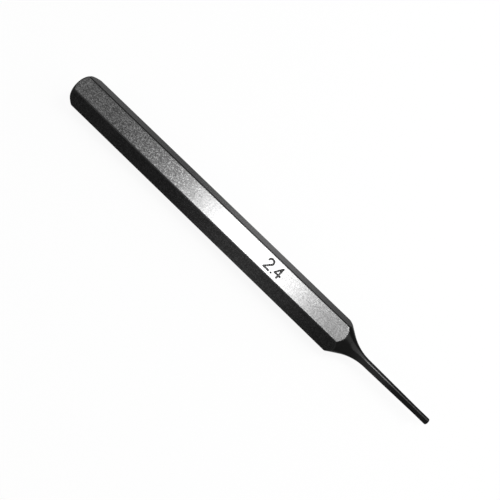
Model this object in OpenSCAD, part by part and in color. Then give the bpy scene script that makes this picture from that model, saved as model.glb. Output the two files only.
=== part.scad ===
// Pin punch turned from one bar of hexagonal tool steel.
// It lies on one flat of the hexagon, with the bar's axis along X and the working tip at +X.
// The origin is under the middle of the bar, on the surface that it lies on.
// Each sub-part is one stretch of the bar, and neighbours meet face to face
// on the planes where the machining changes.

/* [Bar] */
// Overall length, from the striking face to the end of the tip
overall_l = 127; // [115:0.5:180]
// Size of the hexagonal stock across its flats
hex_af = 9.525; // [8:0.005:14]
// How far the drawn bar's rounded corners stand back from sharp ones
corner_break = 0.06; // [0.02:0.01:0.2]

/* [Striking head] */
// Diameter of the flat striking face inside the chamfer
face_d = 9.2; // [6:0.1:10]
// Length of the chamfer, measured along the bar at the corners
head_chamfer_l = 1.2; // [0.6:0.1:2.5]

/* [Shoulder and neck] */
// Angle of the turned shoulder to the bar's axis, in degrees
shoulder_angle = 32.5; // [22:0.5:42]
// Radius of the hollow that blends the shoulder into the pin
neck_blend_r = 13.4; // [6:0.1:16]

/* [Pin] */
// Length of the slender pin, from the end of the hollow to the end of the tip
pin_l = 21; // [12:0.5:30]
// Diameter of the pin where it leaves the hollow
pin_root_d = 2.38; // [1.9:0.01:3.2]
// Diameter of the straight land at the tip
pin_tip_d = 1.88; // [1.5:0.01:1.9]
// Length of the straight land at the tip
tip_land_l = 4; // [2:0.1:8]
// Chamfer that breaks the sharp edge of the tip
tip_break = 0.12; // [0.05:0.01:0.3]

/* [Hidden] */
$fn = 96;

// A hexagon has six equal sides, so its corners stand half a side's angle from its flats.
hex_sides = 6;
half_side_angle = 180 / hex_sides;

// Sizes of the stock
stock_ac = hex_af / cos(half_side_angle);
corner_d = stock_ac - 2 * corner_break;

// The hollow is an arc that ends along the pin and starts along the shoulder's slope.
neck_l = neck_blend_r * sin(shoulder_angle);
neck_start_r = pin_root_d / 2 + neck_blend_r * (1 - cos(shoulder_angle));
shoulder_l = (stock_ac / 2 - neck_start_r) / tan(shoulder_angle);

// Stations along the bar, measured from the striking face
shank_x = head_chamfer_l;
pin_x = overall_l - pin_l;
neck_x = pin_x - neck_l;
shoulder_x = neck_x - shoulder_l;
land_x = overall_l - tip_land_l;

// Turns a shape drawn upwards along Z so that it runs along the bar from station x.
module on_bar(x) {
    translate([x - overall_l / 2, 0, hex_af / 2])
        rotate([0, 90, 0])
            children();
}

// A length of the drawn hexagonal stock, one flat facing down once it is on the bar.
module stock(l) {
    intersection() {
        linear_extrude(l)
            rotate(half_side_angle)
                circle(d = stock_ac, $fn = hex_sides);
        cylinder(h = l, d = corner_d);
    }
}

// The struck end: a flat face inside a turned chamfer that takes off the corners.
module striking_head() {
    color("dimgray")
        on_bar(0)
            intersection() {
                stock(head_chamfer_l);
                cylinder(h = head_chamfer_l, d1 = face_d, d2 = stock_ac);
            }
}

// The hexagonal grip between the head's chamfer and the turned end.
module hex_shank() {
    color("gray")
        on_bar(shank_x)
            stock(shoulder_x - shank_x);
}

// The cone that cuts the six corners away, leaving each flat with an arched end.
module turned_shoulder() {
    color("dimgray")
        on_bar(shoulder_x)
            intersection() {
                stock(shoulder_l);
                cylinder(h = shoulder_l, d1 = stock_ac, d2 = 2 * neck_start_r);
            }
}

// The hollow that carries the blow down from the shoulder into the pin.
module radius_neck() {
    hollow_r = pin_root_d / 2 + neck_blend_r;
    color("dimgray")
        on_bar(neck_x)
            rotate_extrude()
                difference() {
                    square([hollow_r, neck_l]);
                    translate([hollow_r, neck_l])
                        circle(r = neck_blend_r, $fn = 4 * $fn);
                }
}

// The slender pin, slightly tapered down to the land at its tip.
module drive_pin() {
    color("dimgray")
        on_bar(pin_x)
            cylinder(h = land_x - pin_x, d1 = pin_root_d, d2 = pin_tip_d);
}

// The straight land that enters the hole, with its edge broken.
module pin_tip() {
    color("gray")
        on_bar(land_x) {
            cylinder(h = tip_land_l - tip_break, d = pin_tip_d);
            translate([0, 0, tip_land_l - tip_break])
                cylinder(h = tip_break, d1 = pin_tip_d, d2 = pin_tip_d - 2 * tip_break);
        }
}

striking_head();
hex_shank();
turned_shoulder();
radius_neck();
drive_pin();
pin_tip();
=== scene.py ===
import math

import bmesh
import bpy
from bpy.props import FloatProperty, FloatVectorProperty, IntProperty, PointerProperty, StringProperty
from mathutils import Matrix, Vector


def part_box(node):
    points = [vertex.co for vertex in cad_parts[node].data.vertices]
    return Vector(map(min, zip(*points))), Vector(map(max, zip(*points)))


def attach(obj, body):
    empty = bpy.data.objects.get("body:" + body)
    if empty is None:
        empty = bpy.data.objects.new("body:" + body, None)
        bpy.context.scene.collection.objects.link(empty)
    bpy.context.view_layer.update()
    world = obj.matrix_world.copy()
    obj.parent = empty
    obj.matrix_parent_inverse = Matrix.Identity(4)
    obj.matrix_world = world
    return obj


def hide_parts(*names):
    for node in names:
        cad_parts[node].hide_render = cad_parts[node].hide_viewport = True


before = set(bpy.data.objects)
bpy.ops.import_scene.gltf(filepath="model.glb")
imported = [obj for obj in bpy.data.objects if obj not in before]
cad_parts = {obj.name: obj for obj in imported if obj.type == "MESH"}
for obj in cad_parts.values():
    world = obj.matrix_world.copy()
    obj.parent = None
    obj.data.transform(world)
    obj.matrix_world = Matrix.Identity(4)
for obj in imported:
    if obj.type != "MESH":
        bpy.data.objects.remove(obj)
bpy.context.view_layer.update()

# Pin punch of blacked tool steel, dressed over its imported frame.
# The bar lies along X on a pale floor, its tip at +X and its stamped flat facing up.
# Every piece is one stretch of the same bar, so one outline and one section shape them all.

bl_info = {
    "name": "Pin Punch",
    "version": (1, 0, 0),
    "blender": (4, 5, 0),
    "location": "View3D > Sidebar > Pin Punch",
    "description": "Makes a pin punch from its packed frame, with its studio stage",
    "category": "Object",
}

MM = 0.001
BODY = "root"

# Stations along the bar, read from the frame
FACE_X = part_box("striking_head")[0].x
CHAMFER_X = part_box("striking_head")[1].x
SHOULDER_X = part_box("turned_shoulder")[0].x
NECK_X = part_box("radius_neck")[0].x
PIN_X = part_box("drive_pin")[0].x
LAND_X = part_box("pin_tip")[0].x
TIP_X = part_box("pin_tip")[1].x

# Sizes across the bar, read from the frame
SHANK_LOW, SHANK_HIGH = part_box("hex_shank")
AXIS_Z = (SHANK_LOW.z + SHANK_HIGH.z) / 2
FLAT_R = (SHANK_HIGH.z - SHANK_LOW.z) / 2


def half_width(node):
    """Half of a node's size across the bar."""
    low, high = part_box(node)
    return (high.y - low.y) / 2


NECK_R = half_width("radius_neck")
ROOT_R = half_width("drive_pin")
TIP_R = half_width("pin_tip")

# A regular hexagon: half a side's angle, and the radius of its corners before they are rounded
SIDES = 6
HALF_SIDE = math.pi / SIDES
SHARP_R = FLAT_R / math.cos(HALF_SIDE)
SHOULDER_ANGLE = math.atan((SHARP_R - NECK_R) / (NECK_X - SHOULDER_X))
HOLLOW_R = (PIN_X - NECK_X) / math.sin(SHOULDER_ANGLE)

# Steps along each stretch of the outline, finest where the turned and the drawn faces cross
ROUND_STEPS = 8
HEAD_STEPS = 34
SHANK_STEPS = 6
SHOULDER_STEPS = 44
CONE_STEPS = 8
HOLLOW_STEPS = 32
PIN_STEPS = 10
LAND_STEPS = 3

# Rings on the flat ends of a piece, as shares of its radius
CAP_SHARES = (0.0, 0.35, 0.7, 0.9, 0.985)
# Distance of the ring that keeps each end of a piece crisp
END_RING = 0.02 * MM
# How strongly the faces crowd towards the hexagon's corners, where 1 is the most
CORNER_PULL = 0.72
# Points closer than this are one
SAME_PLACE = 0.0005 * MM
# Faces that meet at more than this angle have a sharp edge between them
SHARP_ANGLE = math.radians(35)
# A face whose normal rises at least this much belongs to the upper flat
FLAT_RISE = 0.9999

# Middle of the painted highlight, where edges wear most, and how far off the upper flat's painted
# highlight is full or faint
HIGHLIGHT_AND_WEAR_X = 1 * MM
HIGHLIGHT_AND_WEAR_REACH = 32 * MM
HIGHLIGHT_FULL_REACH = 12 * MM
HIGHLIGHT_FAINT_REACH = 54 * MM
# The upper flat is told from the other faces by its height, over a band this far below it
FLAT_BAND = (0.014 * MM, 0.002 * MM)
# The grain is coarse up to the first station, and fine from the second
GRAIN_X = (-40 * MM, -8 * MM)
# A painted highlight, given as lighter oxide, is centred round this station on the pin
ROOT_HIGHLIGHT_X = PIN_X + 2 * MM
# The oxide is thin on the struck face, and that ends over this band behind the face
FACE_BAND = (0.05 * MM, 0.1 * MM)

# Radius of the floor in metres, and where its white starts and ends turning into all its own
FLOOR_R = 4
FLOOR_NEAR = 100 * MM
FLOOR_FAR = 450 * MM


class PunchSizes(bpy.types.PropertyGroup):
    """Sizes of the finish that the construction leaves open."""

    face_d: FloatProperty(
        name="Face diameter",
        description="Diameter of the flat striking face inside its chamfer",
        default=9.2 * MM,
        unit="LENGTH",
    )
    corner_r: FloatProperty(
        name="Corner radius",
        description="Radius on the long corners of the drawn hexagon",
        default=0.6 * MM,
        unit="LENGTH",
    )
    edge_soft: FloatProperty(
        name="Edge softening",
        description="Width over which a turned edge is rounded off by blasting",
        default=0.14 * MM,
        unit="LENGTH",
    )
    face_edge_r: FloatProperty(
        name="Face edge radius",
        description="Radius on the edge of the striking face",
        default=0.25 * MM,
        unit="LENGTH",
    )
    tip_edge_r: FloatProperty(
        name="Tip edge radius",
        description="Radius on the edge of the working tip",
        default=0.12 * MM,
        unit="LENGTH",
    )
    numeral_h: FloatProperty(
        name="Numeral height",
        description="Height of the stamped size in millimetres",
        default=2.9 * MM,
        unit="LENGTH",
    )
    numeral_w: FloatProperty(
        name="Stroke width",
        description="Width of a stamped stroke at the surface",
        default=0.52 * MM,
        unit="LENGTH",
    )
    numeral_deep: FloatProperty(
        name="Stamp depth",
        description="Depth of a stamped stroke",
        default=0.16 * MM,
        unit="LENGTH",
    )
    numeral_x: FloatProperty(
        name="Stamp place",
        description="Place of the middle of the stamp along the bar",
        default=8.0 * MM,
        unit="LENGTH",
    )
    around: IntProperty(
        name="Faces around",
        description="Number of faces around the bar, a multiple of six",
        default=288,
    )


class PunchColours(bpy.types.PropertyGroup):
    """Reflection colours of the finishes, as sRGB hex values."""

    oxide: StringProperty(
        name="Black oxide",
        description="Blasted and blacked steel",
        default="#1B1B1B",
    )
    # Painted highlight: the side flats' oxide made lighter round the middle of the bar
    side_highlight: StringProperty(
        name="Held oxide",
        description="The same oxide where hands have polished it",
        default="#2D2D2D",
    )
    # Painted highlight: the stamped upper flat's oxide made lighter
    flat_highlight: StringProperty(
        name="Rubbed oxide",
        description="The same oxide on the stamped flat, rubbed bright",
        default="#757575",
    )
    turned: StringProperty(
        name="Turned oxide",
        description="Turned and blacked steel",
        default="#181818",
    )
    # Round the pin's root a painted highlight, and on the struck face a worn, thin oxide
    thin_oxide_and_highlight: StringProperty(
        name="Thin oxide",
        description="The turned oxide round the pin's root and on the struck face",
        default="#262626",
    )
    bare: StringProperty(
        name="Bare edge",
        description="Steel showing through on worn edges",
        default="#7C7C7C",
    )
    floor: StringProperty(
        name="Floor",
        description="Matt paper under the bar",
        default="#FAFAFA",
    )


class PunchStage(bpy.types.PropertyGroup):
    """Camera and lamps of the studio."""

    azimuth: FloatProperty(
        name="Azimuth",
        description="Camera's direction round the bar, 0 looking along +Y",
        default=math.radians(15.1),
        subtype="ANGLE",
    )
    elevation: FloatProperty(
        name="Elevation",
        description="Camera's height above the horizon",
        default=math.radians(76.12),
        subtype="ANGLE",
    )
    roll: FloatProperty(
        name="Roll",
        description="Camera's turn about its own line of sight",
        default=math.radians(29.32),
        subtype="ANGLE",
    )
    aim: FloatVectorProperty(
        name="Aim",
        description="Point that the camera looks at",
        default=(0, 0.175 * MM, AXIS_Z),
        subtype="TRANSLATION",
    )
    distance: FloatProperty(
        name="Distance",
        description="From the camera to the point it looks at",
        default=122.39 * MM,
        unit="LENGTH",
    )
    lens: FloatProperty(
        name="Lens",
        description="Focal length in millimetres",
        default=33.14,
    )
    key_place: FloatVectorProperty(
        name="Key place",
        description="Middle of the overhead softbox",
        default=(-29 * MM, 85 * MM, 460 * MM),
        subtype="TRANSLATION",
    )
    key_size: FloatVectorProperty(
        name="Key size",
        description="Length along the bar and width across it of the overhead softbox",
        default=(158 * MM, 140 * MM),
        size=2,
    )
    key_glow: FloatProperty(
        name="Key brightness",
        description="1 looks as white as the paper",
        default=12.7,
    )
    side_place: FloatVectorProperty(
        name="Side light place",
        description="Middle of the softbox beyond the bar that draws the streak along the pin",
        default=(214 * MM, 250 * MM, 465 * MM),
        subtype="TRANSLATION",
    )
    side_size: FloatVectorProperty(
        name="Side light size",
        description="Length along the bar and width across it of the side softbox",
        default=(76 * MM, 200 * MM),
        size=2,
    )
    side_glow: FloatProperty(
        name="Side brightness",
        description="1 looks as white as the paper",
        default=21.0,
    )
    end_place: FloatVectorProperty(
        name="End light place",
        description="Middle of the large softbox beyond the tip that shapes the neck",
        default=(420 * MM, 240 * MM, 265 * MM),
        subtype="TRANSLATION",
    )
    end_size: FloatVectorProperty(
        name="End light size",
        description="Length along the bar and width across it of the end softbox",
        default=(460 * MM, 460 * MM),
        size=2,
    )
    end_glow: FloatProperty(
        name="End brightness",
        description="1 looks as white as the paper",
        default=2.8,
    )
    front_place: FloatVectorProperty(
        name="Front light place",
        description="Middle of the softbox before the struck end",
        default=(-230 * MM, -420 * MM, 400 * MM),
        subtype="TRANSLATION",
    )
    front_size: FloatVectorProperty(
        name="Front light size",
        description="Length along the bar and width across it of the front softbox",
        default=(300 * MM, 240 * MM),
        size=2,
    )
    front_glow: FloatProperty(
        name="Front brightness",
        description="1 looks as white as the paper",
        default=2.2,
    )
    floor_white: FloatProperty(
        name="Floor white",
        description="Share of the floor's white near the bar that is its own; the rest takes the shadow",
        default=0.92,
    )
    sky: FloatProperty(
        name="Room light",
        description="Even light from the room",
        default=0.03,
    )


# Shape of the bar


def bevelled(before, corner, after, radius, steps):
    """Points of the arc that rounds a corner between two straight lines, as (along, out) pairs."""
    first = (before - corner).normalized()
    last = (after - corner).normalized()
    half = first.angle(last) / 2
    centre = corner + (first + last).normalized() * radius / math.sin(half)
    start = corner + first * radius / math.tan(half) - centre
    end = corner + last * radius / math.tan(half) - centre
    return [centre + radius * start.slerp(end, i / steps) for i in range(steps + 1)]


def straight(start, end, steps):
    """Points along a straight line, without its first."""
    return [start.lerp(end, (i + 1) / steps) for i in range(steps)]


def hollow(steps):
    """Points of the concave arc from the shoulder's cone into the pin, without its first."""
    turns = [SHOULDER_ANGLE * (1 - (i + 1) / steps) for i in range(steps)]
    return [
        Vector((PIN_X - HOLLOW_R * math.sin(a), ROOT_R + HOLLOW_R * (1 - math.cos(a)))) for a in turns
    ]


def bar_outline(sizes):
    """The turned outline from striking face to tip. Over the shank it runs clear of the corners."""
    clear_r = SHARP_R + 2 * sizes.edge_soft
    face_r = sizes.face_d / 2
    head_slope = (SHARP_R - face_r) / (CHAMFER_X - FACE_X)
    head_corner = Vector((FACE_X, face_r))
    head_top = Vector((FACE_X + (clear_r - face_r) / head_slope, clear_r))
    shoulder_top = Vector((SHOULDER_X - (clear_r - SHARP_R) / math.tan(SHOULDER_ANGLE), clear_r))
    flat_cut = Vector((SHOULDER_X + (SHARP_R - FLAT_R + sizes.edge_soft) / math.tan(SHOULDER_ANGLE),
                       FLAT_R - sizes.edge_soft))
    neck_start = Vector((NECK_X, NECK_R))
    tip_corner = Vector((TIP_X, TIP_R))
    land_start = Vector((LAND_X, TIP_R))

    points = bevelled(Vector((FACE_X, 0)), head_corner, head_top, sizes.face_edge_r, ROUND_STEPS)
    points += straight(points[-1], head_top, HEAD_STEPS)
    points += straight(head_top, shoulder_top, SHANK_STEPS)
    points += straight(shoulder_top, flat_cut, SHOULDER_STEPS)
    points += straight(flat_cut, neck_start, CONE_STEPS)
    points += hollow(HOLLOW_STEPS)
    points += straight(Vector((PIN_X, ROOT_R)), land_start, PIN_STEPS)
    tip_round = bevelled(land_start, tip_corner, Vector((TIP_X, 0)), sizes.tip_edge_r, ROUND_STEPS)
    points += straight(land_start, tip_round[0], LAND_STEPS)
    points += tip_round[1:]
    return points


def turned_radius(outline, x):
    """Radius of the turned outline at a station along the bar."""
    for low, high in zip(outline, outline[1:]):
        if low.x <= x <= high.x and high.x > low.x:
            return low.y + (high.y - low.y) * (x - low.x) / (high.x - low.x)
    return outline[0].y if x < outline[0].x else outline[-1].y


def off_flat(turn):
    """Angle from the middle of the nearest flat, given the angle from the upper flat's middle."""
    return abs((turn + HALF_SIDE) % (2 * HALF_SIDE) - HALF_SIDE)


def drawn_radius(turn, corner_r):
    """Radius of the drawn hexagon with rounded corners, at an angle from its upper flat's middle."""
    from_flat = off_flat(turn)
    from_corner = HALF_SIDE - from_flat
    centre_r = (FLAT_R - corner_r) / math.cos(HALF_SIDE)
    flat_end = math.atan2((FLAT_R - corner_r) * math.tan(HALF_SIDE), FLAT_R)
    if from_flat <= flat_end:
        return FLAT_R / math.cos(from_flat)
    side = centre_r * math.sin(from_corner)
    return centre_r * math.cos(from_corner) + math.sqrt(corner_r ** 2 - side ** 2)


def softened(a, b, width):
    """The lesser of two radii, eased where they cross over a width."""
    near = max(width - abs(a - b), 0)
    return min(a, b) - near ** 2 / (4 * width)


def edge_share(turned, drawn, turn, sizes):
    """How near a point is to an edge, from 0 on a plain surface to 1 on the edge itself."""
    crossing = max(1 - abs(turned - drawn) / (2 * sizes.edge_soft), 0)
    rounding = (HALF_SIDE - off_flat(turn)) * SHARP_R / (sizes.corner_r * math.tan(HALF_SIDE))
    return max(crossing, 1 - rounding if turned > drawn else 0, 0)


def gathered(turn):
    """Moves an even angle towards the nearest hexagon corner, so that corners get the finer faces."""
    return turn + CORNER_PULL * math.sin(turn * SIDES) / SIDES


def bar_piece(name, node, start, end):
    """One stretch of the bar as a closed mesh, spun from a unit outline and drawn to its section.

    Its drawn faces have the blasted finish, and the faces cut on the lathe have the turned one.
    """
    sizes = bpy.context.scene.punch_sizes
    outline = bar_outline(sizes)
    inner = [p.x for p in outline if start + END_RING < p.x < end - END_RING]
    stations = [start, start + END_RING] + inner + [end - END_RING, end]
    points = [(start, share) for share in CAP_SHARES]
    points += [(x, 1.0) for x in stations]
    points += [(end, share) for share in reversed(CAP_SHARES)]

    bm = bmesh.new()
    verts = [bm.verts.new((x, 0, AXIS_Z + share)) for x, share in points]
    edges = [bm.edges.new(pair) for pair in zip(verts, verts[1:])]
    bmesh.ops.spin(
        bm,
        geom=verts + edges,
        cent=(0, 0, AXIS_Z),
        axis=(1, 0, 0),
        dvec=(0, 0, 0),
        angle=2 * math.pi,
        steps=sizes.around,
        use_merge=True,
    )
    wear = bm.verts.layers.float.new("edge_wear")
    cut = bm.verts.layers.float.new("cut_away")
    for vert in bm.verts:
        share = math.hypot(vert.co.y, vert.co.z - AXIS_Z)
        turn = gathered(math.atan2(vert.co.y, vert.co.z - AXIS_Z))
        turned = turned_radius(outline, vert.co.x)
        drawn = drawn_radius(turn, sizes.corner_r)
        radius = share * softened(turned, drawn, sizes.edge_soft)
        vert.co.y = radius * math.sin(turn)
        vert.co.z = AXIS_Z + radius * math.cos(turn)
        vert[wear] = edge_share(turned, drawn, turn, sizes)
        vert[cut] = drawn - turned
    bmesh.ops.remove_doubles(bm, verts=bm.verts, dist=SAME_PLACE)
    bmesh.ops.recalc_face_normals(bm, faces=bm.faces)
    for face in bm.faces:
        face.material_index = int(sum(vert[cut] for vert in face.verts) > 0)
    bm.verts.layers.float.remove(cut)
    return finished(bm, name, node)


def finished(bm, name, node):
    """Makes a bmesh an object at the origin that stands for a node of the frame."""
    mesh = bpy.data.meshes.new(name)
    bm.to_mesh(mesh)
    bm.free()
    mesh.shade_smooth()
    mesh.set_sharp_from_angle(angle=SHARP_ANGLE)
    mesh.materials.append(shared("blasted_black_oxide_steel", blasted_black_oxide))
    mesh.materials.append(shared("turned_black_oxide_steel", turned_black_oxide))
    piece = bpy.data.objects.new(name, mesh)
    bpy.context.scene.collection.objects.link(piece)
    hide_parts(node)
    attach(piece, BODY)
    return piece


# The stamped size, a plain number in millimetres


def two(height):
    """Centre line of the figure 2, from its lower left corner."""
    r = 0.28 * height
    foot = 0.58 * height
    centre = Vector((r, height - r))
    # The arc's first angle and its steps, in degrees
    start = 165
    turn = 20.5
    angles = [math.radians(start - turn * i) for i in range(10)]
    arc = [centre + r * Vector((math.cos(a), math.sin(a))) for a in angles]
    return [arc + [Vector((0, 0)), Vector((foot, 0))]]


def four(height):
    """Centre lines of the figure 4, from its lower left corner."""
    bar_h = 0.28 * height
    bar_l = 0.62 * height
    stem = 0.44 * height
    return [[Vector((stem, 0)), Vector((stem, height)), Vector((0, bar_h)), Vector((bar_l, bar_h))]]


def point(height):
    """Centre line of the decimal point, a stroke just long enough to have a direction."""
    dot_l = 0.02 * height
    return [[Vector((0, 0)), Vector((dot_l, 0))]]


def stamp_tool(sizes):
    """The stamp's strokes as round-nosed bars, laid into the upper flat.

    The balls that join the bars are a hair larger than these, so that no two faces coincide.
    """
    height = sizes.numeral_h
    half_w = sizes.numeral_w / 2
    nose_r = (half_w ** 2 + sizes.numeral_deep ** 2) / (2 * sizes.numeral_deep)
    ball_r = 1.01 * nose_r
    lift = SHANK_HIGH.z + nose_r - sizes.numeral_deep
    figures = [(two(height), 0.0), (point(height), 0.86 * height), (four(height), 1.1 * height)]
    # The last figure starts 1.1 heights along and is 0.62 of a height wide.
    width = 1.72 * height
    corner = Vector((sizes.numeral_x - width / 2, -height / 2))

    bm = bmesh.new()
    for strokes, shift in figures:
        for stroke in strokes:
            line = [Vector((p.x + shift + corner.x, p.y + corner.y, lift)) for p in stroke]
            for p in line:
                bmesh.ops.create_icosphere(
                    bm,
                    subdivisions=3,
                    radius=ball_r,
                    matrix=Matrix.Translation(p),
                )
            for a, b in zip(line, line[1:]):
                turn = (b - a).to_track_quat("Z", "Y").to_matrix().to_4x4()
                bmesh.ops.create_cone(
                    bm,
                    cap_ends=True,
                    segments=24,
                    radius1=nose_r,
                    radius2=nose_r,
                    depth=(b - a).length,
                    matrix=Matrix.Translation((a + b) / 2) @ turn,
                )
    mesh = bpy.data.meshes.new("stamp_tool")
    bm.to_mesh(mesh)
    bm.free()
    tool = bpy.data.objects.new("stamp_tool", mesh)
    bpy.context.scene.collection.objects.link(tool)
    return tool


def stamp(piece, tool):
    """Presses the tool's shape into the piece, and takes the tool away."""
    cut = piece.modifiers.new("stamp", "BOOLEAN")
    cut.operation = "DIFFERENCE"
    cut.solver = "EXACT"
    cut.use_self = True
    cut.object = tool
    bpy.context.view_layer.update()
    shaped = bpy.data.meshes.new_from_object(piece.evaluated_get(bpy.context.evaluated_depsgraph_get()))
    shaped.name = piece.name
    piece.modifiers.clear()
    old = piece.data
    piece.data = shaped
    bpy.data.meshes.remove(old)
    shaped.shade_smooth()
    shaped.set_sharp_from_angle(angle=SHARP_ANGLE)
    for face in shaped.polygons:
        face.use_smooth = face.normal.z < FLAT_RISE
    bpy.data.meshes.remove(tool.data)


# Finishes


def linear(hex_colour):
    """An sRGB hex colour as linear red, green, blue and alpha."""
    parts = [int(hex_colour[i:i + 2], 16) / 255 for i in (1, 3, 5)]
    return [p / 12.92 if p <= 0.04045 else ((p + 0.055) / 1.055) ** 2.4 for p in parts] + [1.0]


def per_metre(size):
    """A texture's scale for a pattern of that size."""
    return 1 / size


def add(tree, kind, settings=None, inputs=None):
    """Adds a node with its settings, and with its inputs set or linked.

    A node that is given for an input is linked from the first of its outputs that is in use.
    """
    node = tree.nodes.new(kind)
    for name, value in (settings or {}).items():
        setattr(node, name, value)
    for name, value in (inputs or {}).items():
        if isinstance(value, bpy.types.Node):
            value = next(socket for socket in value.outputs if socket.enabled)
        if isinstance(value, bpy.types.NodeSocket):
            tree.links.new(value, node.inputs[name])
        else:
            node.inputs[name].default_value = value
    return node


def empty_tree(owner):
    """The node tree of a material or world, cleared."""
    owner.use_nodes = True
    owner.node_tree.nodes.clear()
    return owner.node_tree


def blasted_black_oxide():
    """Alloy steel bar, bead blasted and blacked: a satin black with a fine, uneven grain.

    Round the middle of the bar the side flats are lighter as a painted highlight with a painted sheen,
    and the stamped upper flat is lighter as a painted highlight. The grain is strongest at the struck
    end.
    """
    colours = bpy.context.scene.punch_colours
    material = bpy.data.materials.new("blasted_black_oxide_steel")
    tree = empty_tree(material)
    place = add(tree, "ShaderNodeTexCoord").outputs["Object"]
    split = add(tree, "ShaderNodeSeparateXYZ", None, {"Vector": place})
    along = split.outputs["X"]
    edge = add(tree, "ShaderNodeAttribute", {"attribute_name": "edge_wear"}).outputs["Fac"]

    # Real bead marks are under 0.1 mm. They are drawn 0.24 mm wide, the least that shows.
    drawn = add(tree, "ShaderNodeMapping", None, {"Vector": place, "Scale": (0.6, 1, 1)})
    grit = add(tree, "ShaderNodeTexNoise", None,
               {"Vector": drawn, "Scale": per_metre(0.24 * MM), "Detail": 2.0, "Roughness": 0.6})
    patch = add(tree, "ShaderNodeTexNoise", None,
                {"Vector": place, "Scale": per_metre(1.6 * MM), "Detail": 3.0, "Roughness": 0.55})
    fine = add(tree, "ShaderNodeMapRange", {"interpolation_type": "SMOOTHSTEP"},
               {"Value": grit, "From Min": 0.3, "From Max": 0.7, "To Min": -0.5, "To Max": 0.5})
    broad = add(tree, "ShaderNodeMapRange", None, {"Value": patch, "To Min": -0.2, "To Max": 0.2})
    both = add(tree, "ShaderNodeMath", {"operation": "ADD"}, {0: fine, 1: broad})
    coarse = add(tree, "ShaderNodeMapRange", {"interpolation_type": "SMOOTHSTEP"},
                 {"Value": along, "From Min": GRAIN_X[0], "From Max": GRAIN_X[1],
                  "To Min": 0.85, "To Max": 0.3})

    # Round the middle of the bar: the side flats' painted highlight and sheen, and the most worn edges
    off_middle = add(tree, "ShaderNodeMath", {"operation": "SUBTRACT"}, {0: along, 1: HIGHLIGHT_AND_WEAR_X})
    reach = add(tree, "ShaderNodeMath", {"operation": "ABSOLUTE"}, {0: off_middle})
    highlight_and_wear = add(tree, "ShaderNodeMapRange", {"interpolation_type": "SMOOTHSTEP"},
               {"Value": reach, "From Min": HIGHLIGHT_AND_WEAR_REACH, "From Max": 0.0})
    # The side flats lighter round the middle, a painted highlight
    dark = add(tree, "ShaderNodeMix", {"data_type": "RGBA"},
               {0: highlight_and_wear, 6: linear(colours.oxide), 7: linear(colours.side_highlight)})

    # The upper flat made lighter as a painted highlight, fainter towards both ends
    top = add(tree, "ShaderNodeMapRange", {"interpolation_type": "SMOOTHSTEP"},
              {"Value": split.outputs["Z"], "From Min": SHANK_HIGH.z - FLAT_BAND[0],
               "From Max": SHANK_HIGH.z - FLAT_BAND[1]})
    flat_highlight_fade = add(tree, "ShaderNodeMapRange", {"interpolation_type": "SMOOTHSTEP"},
              {"Value": reach, "From Min": HIGHLIGHT_FAINT_REACH, "From Max": HIGHLIGHT_FULL_REACH,
               "To Min": 0.42, "To Max": 1.0})
    share = add(tree, "ShaderNodeMath", {"operation": "MULTIPLY"}, {0: top, 1: flat_highlight_fade})
    plain = add(tree, "ShaderNodeMix", {"data_type": "RGBA"},
                {0: share, 6: dark, 7: linear(colours.flat_highlight)})

    # The other flats keep an even grain, and the rounded corners are sleeker.
    level = add(tree, "ShaderNodeMix", None, {0: top, 2: 0.7, 3: coarse})
    sleek = add(tree, "ShaderNodeMapRange", {"interpolation_type": "SMOOTHSTEP"},
                {"Value": edge, "From Min": 0.0, "From Max": 0.35, "To Min": 1.0, "To Max": 0.25})
    strength = add(tree, "ShaderNodeMath", {"operation": "MULTIPLY"}, {0: level, 1: sleek})
    grain = add(tree, "ShaderNodeMath", {"operation": "MULTIPLY"}, {0: both, 1: strength})
    lighter = add(tree, "ShaderNodeMath", {"operation": "POWER"}, {0: 6.0, 1: grain})
    grained = add(tree, "ShaderNodeVectorMath", {"operation": "SCALE"}, {0: plain, "Scale": lighter})
    wear = add(tree, "ShaderNodeMapRange", None, {"Value": highlight_and_wear, "To Min": 0.04, "To Max": 0.12})
    worn = add(tree, "ShaderNodeMapRange", {"interpolation_type": "SMOOTHSTEP"},
               {"Value": edge, "From Min": 0.3, "From Max": 1.0, "To Max": wear})
    base = add(tree, "ShaderNodeMix", {"data_type": "RGBA"},
               {0: worn, 6: grained, 7: linear(colours.bare)})
    rough = add(tree, "ShaderNodeMath", {"operation": "MULTIPLY_ADD"}, {0: grain, 1: 0.1, 2: 0.25})
    # The upper flat is partly matt, which lightens it further as part of its painted highlight
    metal = add(tree, "ShaderNodeMapRange", None, {"Value": top, "To Min": 1.0, "To Max": 0.72})
    bump = add(tree, "ShaderNodeBump", None, {"Height": grain, "Strength": 0.5, "Distance": 0.012 * MM})
    # Painted sheen: the grazing reflection is raised round the middle of the bar
    painted_sheen = add(tree, "ShaderNodeMapRange", None, {"Value": highlight_and_wear, "To Min": 0.5, "To Max": 0.72})
    shader = add(tree, "ShaderNodeBsdfPrincipled", None, {
        "Base Color": base,
        "Metallic": metal,
        "Roughness": rough,
        "Normal": bump,
        "Specular Tint": painted_sheen,
    })
    add(tree, "ShaderNodeOutputMaterial", None, {"Surface": shader})
    return material


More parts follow.
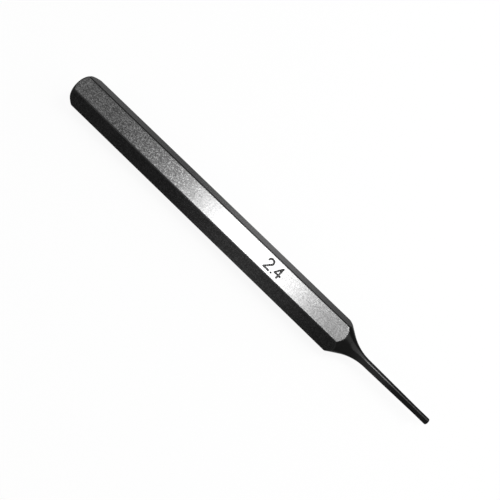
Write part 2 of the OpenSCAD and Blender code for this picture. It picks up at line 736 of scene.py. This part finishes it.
def turned_black_oxide():
    """Steel turned on a lathe and blacked: a sleek black, with fine rings round the bar from the tool.

    The rings spread a highlight along the bar. A lighter oxide round the pin's root is a
    painted highlight, and the oxide is thinner on the struck face.
    """
    colours = bpy.context.scene.punch_colours
    material = bpy.data.materials.new("turned_black_oxide_steel")
    tree = empty_tree(material)
    place = add(tree, "ShaderNodeTexCoord").outputs["Object"]
    along = add(tree, "ShaderNodeSeparateXYZ", None, {"Vector": place}).outputs["X"]
    edge = add(tree, "ShaderNodeAttribute", {"attribute_name": "edge_wear"}).outputs["Fac"]

    # A real feed mark is about 0.08 mm. The rings are drawn 0.16 mm apart, the least that shows.
    rings = add(tree, "ShaderNodeTexNoise", {"noise_dimensions": "1D"},
                {"W": along, "Scale": per_metre(0.16 * MM), "Detail": 2.0, "Roughness": 0.6})
    cloud = add(tree, "ShaderNodeTexNoise", None,
                {"Vector": place, "Scale": per_metre(0.9 * MM), "Detail": 3.0, "Roughness": 0.55})
    ring = add(tree, "ShaderNodeMapRange", None, {"Value": rings, "To Min": 0.7, "To Max": 1.3})
    spot = add(tree, "ShaderNodeMapRange", None, {"Value": cloud, "To Min": 0.75, "To Max": 1.25})
    tone = add(tree, "ShaderNodeMath", {"operation": "MULTIPLY"}, {0: ring, 1: spot})

    # Where the oxide is lighter: a painted highlight round the pin's root, and thin oxide on the struck
    # face
    off_root = add(tree, "ShaderNodeMath", {"operation": "SUBTRACT"}, {0: along, 1: ROOT_HIGHLIGHT_X})
    reach = add(tree, "ShaderNodeMath", {"operation": "ABSOLUTE"}, {0: off_root})
    root = add(tree, "ShaderNodeMapRange", {"interpolation_type": "SMOOTHSTEP"},
               {"Value": reach, "From Min": 8 * MM, "From Max": 2 * MM})
    face = add(tree, "ShaderNodeMapRange", None,
               {"Value": along, "From Min": FACE_X + FACE_BAND[1], "From Max": FACE_X + FACE_BAND[0]})
    thin = add(tree, "ShaderNodeMath", {"operation": "MAXIMUM"}, {0: root, 1: face})
    plain = add(tree, "ShaderNodeMix", {"data_type": "RGBA"},
                {0: thin, 6: linear(colours.turned), 7: linear(colours.thin_oxide_and_highlight)})
    toned = add(tree, "ShaderNodeVectorMath", {"operation": "SCALE"}, {0: plain, "Scale": tone})
    worn = add(tree, "ShaderNodeMapRange", {"interpolation_type": "SMOOTHSTEP"},
               {"Value": edge, "From Min": 0.4, "From Max": 1.0, "To Max": 0.03})
    base = add(tree, "ShaderNodeMix", {"data_type": "RGBA"},
               {0: worn, 6: toned, 7: linear(colours.bare)})
    rough = add(tree, "ShaderNodeMath", {"operation": "MULTIPLY_ADD"}, {0: spot, 1: 0.1, 2: 0.06})
    round_x = add(tree, "ShaderNodeTangent", {"direction_type": "RADIAL", "axis": "X"})
    bump = add(tree, "ShaderNodeBump", None, {"Height": rings, "Strength": 0.5, "Distance": 0.02 * MM})
    shader = add(tree, "ShaderNodeBsdfPrincipled", None, {
        "Base Color": base,
        "Metallic": 1.0,
        "Roughness": rough,
        "Normal": bump,
        "Tangent": round_x,
        "Anisotropic": 0.35,
        "Anisotropic Rotation": 0.25,
        "Specular Tint": (0.5, 0.5, 0.5, 1.0),
    })
    add(tree, "ShaderNodeOutputMaterial", None, {"Surface": shader})
    return material


def seen(tree):
    """1 for what the camera, a reflection or clear material sees, and 0 for light on a surface."""
    ray = add(tree, "ShaderNodeLightPath")
    direct = add(tree, "ShaderNodeMath", {"operation": "MAXIMUM"},
                 {0: ray.outputs["Is Camera Ray"], 1: ray.outputs["Is Glossy Ray"]})
    return add(tree, "ShaderNodeMath", {"operation": "MAXIMUM"},
               {0: direct, 1: ray.outputs["Is Transmission Ray"]})


def matt_paper():
    """Matt studio paper: a white, even surface that takes a soft shadow.

    To the camera and in reflections most of its white is its own, and all of it far from the bar.
    """
    scene = bpy.context.scene
    material = bpy.data.materials.new("matt_paper")
    tree = empty_tree(material)
    paper = add(tree, "ShaderNodeBsdfPrincipled", None, {
        "Base Color": linear(scene.punch_colours.floor),
        "Roughness": 0.9,
        "Specular IOR Level": 0.1,
    })
    place = add(tree, "ShaderNodeTexCoord").outputs["Object"]
    reach = add(tree, "ShaderNodeVectorMath", {"operation": "LENGTH"}, {0: place}).outputs["Value"]
    own = add(tree, "ShaderNodeMapRange", {"interpolation_type": "SMOOTHSTEP"},
              {"Value": reach, "From Min": FLOOR_NEAR, "From Max": FLOOR_FAR,
               "To Min": scene.punch_stage.floor_white, "To Max": 1.0})
    share = add(tree, "ShaderNodeMath", {"operation": "MULTIPLY"}, {0: own, 1: seen(tree)})
    white = add(tree, "ShaderNodeEmission", None, {"Color": (1, 1, 1, 1), "Strength": 1.0})
    mixed = add(tree, "ShaderNodeMixShader", None, {0: share, 1: paper, 2: white})
    add(tree, "ShaderNodeOutputMaterial", None, {"Surface": mixed})
    return material


def pale_room():
    """The room round the stage: white to the camera and in reflections, and a low even light."""
    room = bpy.data.worlds.new("pale_room")
    tree = empty_tree(room)
    level = add(tree, "ShaderNodeMapRange", None,
                {"Value": seen(tree), "To Min": bpy.context.scene.punch_stage.sky, "To Max": 1.0})
    light = add(tree, "ShaderNodeBackground", None, {"Color": (1, 1, 1, 1), "Strength": level})
    add(tree, "ShaderNodeOutputWorld", None, {"Surface": light})
    return room


def softbox(name, place, size, glow):
    """An even rectangular lamp that faces the bar, its length along it. Brightness 1 looks white."""
    light = bpy.data.lights.new(name, "AREA")
    light.shape = "RECTANGLE"
    light.size = size[0]
    light.size_y = size[1]
    light.energy = glow * math.pi * size[0] * size[1]
    lamp = bpy.data.objects.new(name, light)
    lamp.location = place
    back = lamp.location.normalized()
    along = (Vector((1, 0, 0)) - back * back.x).normalized()
    lamp.rotation_euler = Matrix((along, back.cross(along), back)).transposed().to_euler()
    lamp.visible_camera = False
    bpy.context.scene.collection.objects.link(lamp)
    return lamp


def shared(name, make):
    """A finish that several pieces share, made once."""
    return bpy.data.materials.get(name) or make()


# Operators


class PUNCH_OT_striking_head(bpy.types.Operator):
    """Make the struck end, a flat face inside a chamfer"""

    bl_idname = "punch.striking_head"
    bl_label = "Striking Head"

    def execute(self, context):
        bar_piece("punch_head", "striking_head", FACE_X, CHAMFER_X)
        return {"FINISHED"}


class PUNCH_OT_hex_shank(bpy.types.Operator):
    """Make the hexagonal shank and press the size into its upper flat"""

    bl_idname = "punch.hex_shank"
    bl_label = "Hexagonal Shank"

    def execute(self, context):
        shank = bar_piece("punch_shank", "hex_shank", CHAMFER_X, SHOULDER_X)
        stamp(shank, stamp_tool(context.scene.punch_sizes))
        return {"FINISHED"}


class PUNCH_OT_turned_shoulder(bpy.types.Operator):
    """Make the cone that cuts the corners away"""

    bl_idname = "punch.turned_shoulder"
    bl_label = "Turned Shoulder"

    def execute(self, context):
        bar_piece("punch_shoulder", "turned_shoulder", SHOULDER_X, NECK_X)
        return {"FINISHED"}


class PUNCH_OT_neck_and_pin(bpy.types.Operator):
    """Make the hollow neck, the slender pin and the land at its tip"""

    bl_idname = "punch.neck_and_pin"
    bl_label = "Neck and Pin"

    def execute(self, context):
        bar_piece("punch_neck", "radius_neck", NECK_X, PIN_X)
        bar_piece("punch_pin", "drive_pin", PIN_X, LAND_X)
        bar_piece("punch_tip", "pin_tip", LAND_X, TIP_X)
        return {"FINISHED"}


class PUNCH_OT_stage(bpy.types.Operator):
    """Make the camera, the lamps, the room and the floor"""

    bl_idname = "punch.stage"
    bl_label = "Stage"

    def execute(self, context):
        scene = context.scene
        stage = scene.punch_stage
        scene.view_settings.view_transform = "Standard"

        camera = bpy.data.objects.new("camera", bpy.data.cameras.new("camera"))
        scene.collection.objects.link(camera)
        a = stage.azimuth
        e = stage.elevation
        back = Vector((math.sin(a) * math.cos(e), -math.cos(a) * math.cos(e), math.sin(e)))
        level = (-back).to_track_quat("-Z", "Y")
        camera.rotation_mode = "QUATERNION"
        camera.rotation_quaternion = level @ Matrix.Rotation(stage.roll, 3, "Z").to_quaternion()
        camera.location = Vector(stage.aim) + back * stage.distance
        camera.data.lens = stage.lens
        camera.data.clip_start = 1 * MM
        camera.data.clip_end = 5 * FLOOR_R
        scene.camera = camera

        softbox("key_softbox", stage.key_place, stage.key_size, stage.key_glow)
        softbox("side_softbox", stage.side_place, stage.side_size, stage.side_glow)
        softbox("end_softbox", stage.end_place, stage.end_size, stage.end_glow)
        softbox("front_softbox", stage.front_place, stage.front_size, stage.front_glow)
        scene.world = pale_room()

        bm = bmesh.new()
        bmesh.ops.create_circle(bm, cap_ends=True, segments=96, radius=FLOOR_R)
        mesh = bpy.data.meshes.new("floor")
        bm.to_mesh(mesh)
        bm.free()
        mesh.materials.append(matt_paper())
        floor = bpy.data.objects.new("floor", mesh)
        scene.collection.objects.link(floor)
        return {"FINISHED"}


OPERATORS = (
    PUNCH_OT_stage,
    PUNCH_OT_striking_head,
    PUNCH_OT_hex_shank,
    PUNCH_OT_turned_shoulder,
    PUNCH_OT_neck_and_pin,
)


class PUNCH_PT_panel(bpy.types.Panel):
    """Lists the sizes, the colours and the pieces"""

    bl_idname = "PUNCH_PT_panel"
    bl_label = "Pin Punch"
    bl_space_type = "VIEW_3D"
    bl_region_type = "UI"
    bl_category = "Pin Punch"

    def draw(self, context):
        for group in (context.scene.punch_sizes, context.scene.punch_colours, context.scene.punch_stage):
            box = self.layout.box()
            for name in group.bl_rna.properties.keys():
                if name not in ("rna_type", "name"):
                    box.prop(group, name)
        for operator in OPERATORS:
            self.layout.operator(operator.bl_idname)


CLASSES = (PunchSizes, PunchColours, PunchStage) + OPERATORS + (PUNCH_PT_panel,)


def register():
    """Registers the classes and their scene settings."""
    for each in CLASSES:
        bpy.utils.register_class(each)
    bpy.types.Scene.punch_sizes = PointerProperty(type=PunchSizes)
    bpy.types.Scene.punch_colours = PointerProperty(type=PunchColours)
    bpy.types.Scene.punch_stage = PointerProperty(type=PunchStage)


def unregister():
    """Removes the scene settings and the classes."""
    del bpy.types.Scene.punch_stage
    del bpy.types.Scene.punch_colours
    del bpy.types.Scene.punch_sizes
    for each in reversed(CLASSES):
        bpy.utils.unregister_class(each)


def main():
    """Makes the stage and every piece."""
    register()
    bpy.ops.punch.stage()
    bpy.ops.punch.striking_head()
    bpy.ops.punch.hex_shank()
    bpy.ops.punch.turned_shoulder()
    bpy.ops.punch.neck_and_pin()


if __name__ == "__main__":
    main()
